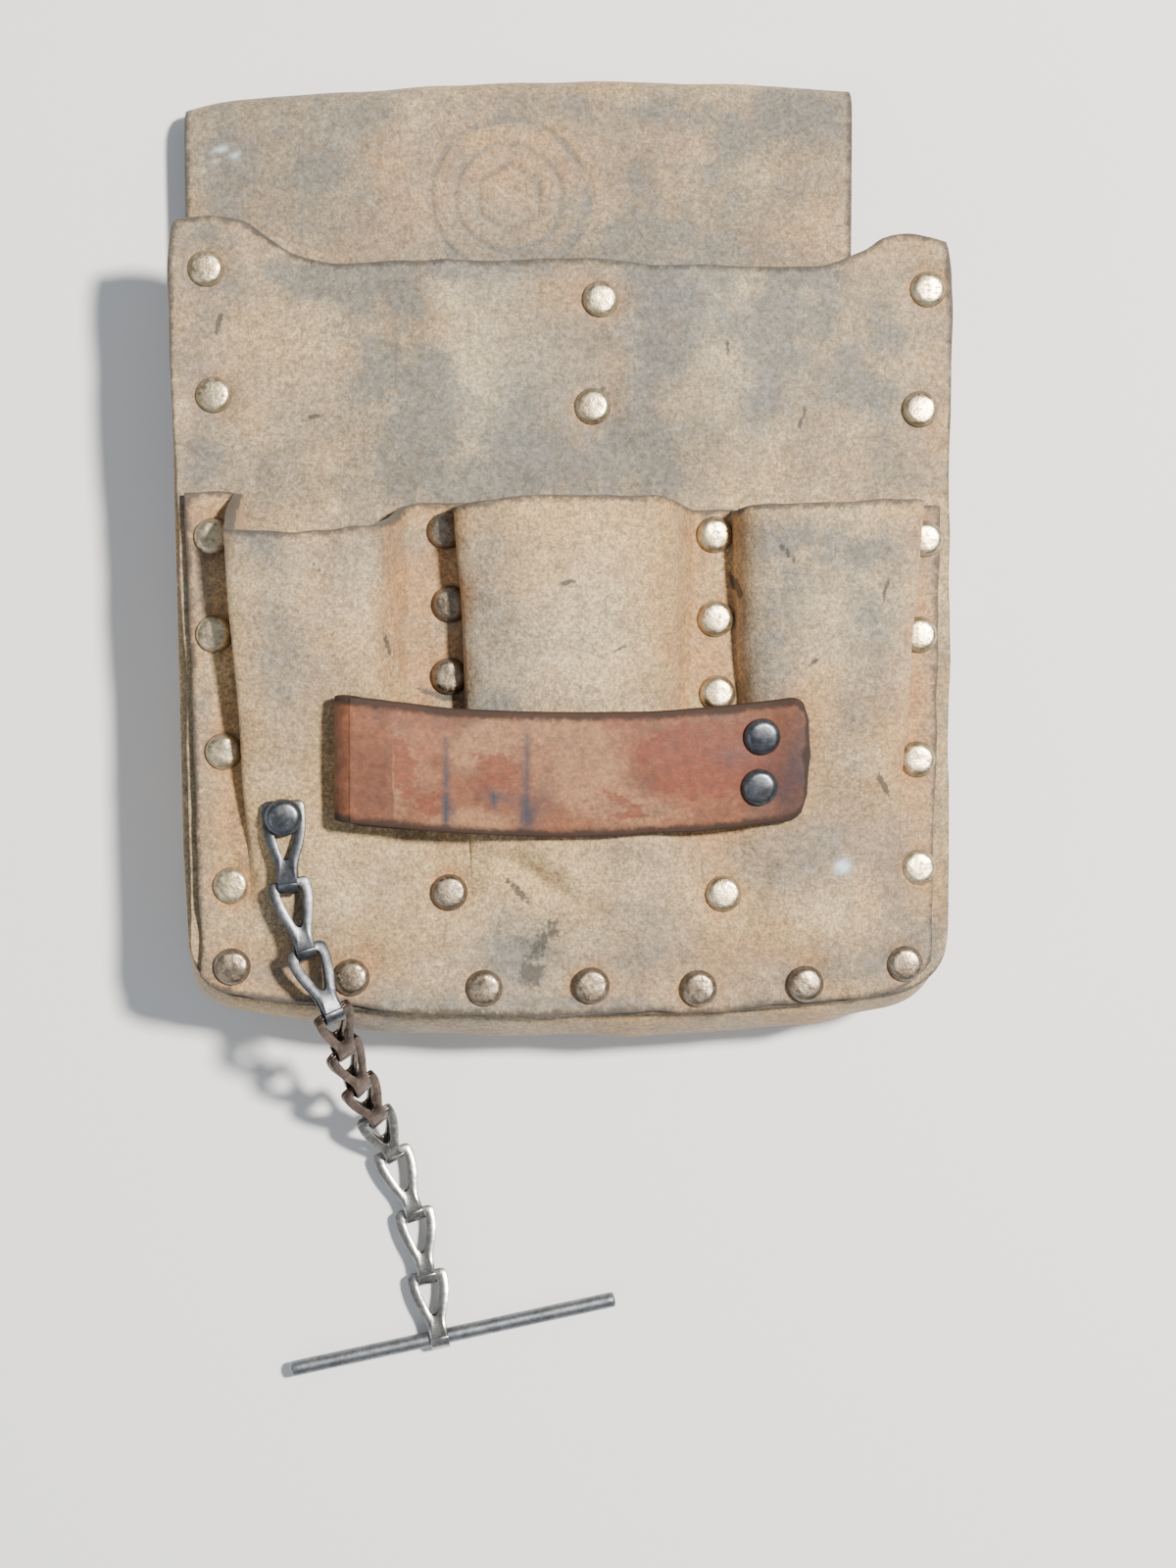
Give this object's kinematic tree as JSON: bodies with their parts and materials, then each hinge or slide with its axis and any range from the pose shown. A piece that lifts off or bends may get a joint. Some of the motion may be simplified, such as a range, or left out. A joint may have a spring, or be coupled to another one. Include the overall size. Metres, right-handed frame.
{
  "type": "electrician tool pouch",
  "caption": "Riveted leather tool pouch with a gusseted main pocket, three bag pockets, a strap loop, a belt tunnel and a link chain ending in a T-bar.",
  "frame": {"origin": "centre of the flat back face, 90 mm above the pouch's bottom edge", "axes": "+X to the right as seen from the front, +Y up the pouch towards the belt tunnel, +Z out of the front; the pouch lies on its back"},
  "size_m": [0.2036, 0.3506, 0.0761],
  "materials": {
    "body_leather": "worn satin",
    "strap_leather": "worn satin",
    "nickel": "worn satin",
    "dark_steel": "tarnished",
    "bright_steel": "worn satin"
  },
  "bodies": {
    "pouch": {"back_panel": "body_leather", "gusset": "body_leather", "front_panel": "body_leather", "tool_sleeve": "body_leather", "pocket_panel": "body_leather", "strap_loop": "strap_leather", "upper_side_rivets": "nickel", "upper_centre_rivets": "nickel", "left_side_rivets": "nickel", "right_side_rivets": "nickel", "left_divider_rivets": "nickel", "right_divider_rivets": "nickel", "bottom_rivets": "nickel", "strap_rivets": "dark_steel", "strap_tail_rivets": "dark_steel", "tunnel_rivets": "nickel", "back_rivets": "nickel", "chain_rivet": "dark_steel", "front_burrs": "nickel", "back_burrs": "nickel"},
    "link_01": {"link_01": "dark_steel"},
    "link_02": {"link_02": "dark_steel"},
    "link_03": {"link_03": "dark_steel"},
    "link_04": {"link_04": "dark_steel"},
    "link_05": {"link_05": "dark_steel"},
    "link_06": {"link_06": "dark_steel"},
    "link_07": {"link_07": "bright_steel"},
    "link_08": {"link_08": "bright_steel"},
    "link_09": {"link_09": "bright_steel"},
    "link_10": {"link_10": "bright_steel"},
    "t_bar": {"t_bar": "dark_steel"}
  },
  "joints": [
    {"name": "link_01_swing", "type": "hinge", "parent": "pouch", "child": "link_01", "pos_m": [-0.0721, -0.031, 0.0604], "axis": [-0.0523, -0.0784, 0.9956], "range_deg": [-25, 2]},
    {"name": "link_02_bend", "type": "hinge", "parent": "link_01", "child": "link_02", "pos_m": [-0.07092, -0.04791, 0.05913], "axis": [0.9962, 0.0654, 0.0575], "range_deg": [-45, 0]},
    {"name": "link_03_bend", "type": "hinge", "parent": "link_02", "child": "link_03", "pos_m": [-0.06672, -0.06483, 0.05761], "axis": [-0.9621, -0.2487, 0.1116], "range_deg": [0, 45]},
    {"name": "link_04_bend", "type": "hinge", "parent": "link_03", "child": "link_04", "pos_m": [-0.0598, -0.08089, 0.05841], "axis": [0.8991, 0.3763, -0.2237], "range_deg": [-60, 0]},
    {"name": "link_05_bend", "type": "hinge", "parent": "link_04", "child": "link_05", "pos_m": [-0.05726, -0.0912, 0.0445], "axis": [-0.8256, -0.5148, 0.2312], "range_deg": [0, 45]},
    {"name": "link_06_bend", "type": "hinge", "parent": "link_05", "child": "link_06", "pos_m": [-0.05337, -0.10195, 0.03125], "axis": [0.6941, 0.6452, -0.3191], "range_deg": [-45, 0]},
    {"name": "link_07_bend", "type": "hinge", "parent": "link_06", "child": "link_07", "pos_m": [-0.04918, -0.1117, 0.01733], "axis": [-0.7655, -0.6121, 0.1982], "range_deg": [0, 45]},
    {"name": "link_08_bend", "type": "hinge", "parent": "link_07", "child": "link_08", "pos_m": [-0.04448, -0.12288, 0.00472], "axis": [0.8647, 0.4895, -0.1122], "range_deg": [-45, 43]},
    {"name": "link_09_bend", "type": "hinge", "parent": "link_08", "child": "link_09", "pos_m": [-0.03845, -0.13929, 0.00403], "axis": [-0.934, -0.3471, 0.0847], "range_deg": [0, 60]},
    {"name": "link_10_bend", "type": "hinge", "parent": "link_09", "child": "link_10", "pos_m": [-0.03499, -0.15645, 0.00404], "axis": [0.9798, 0.197, -0.0328], "range_deg": [-60, 0]},
    {"name": "t_bar_turn", "type": "hinge", "parent": "link_10", "child": "t_bar", "pos_m": [-0.03154, -0.1736, 0.0042], "axis": [0.9802, 0.1973, -0.0153], "continuous": true}
  ]
}
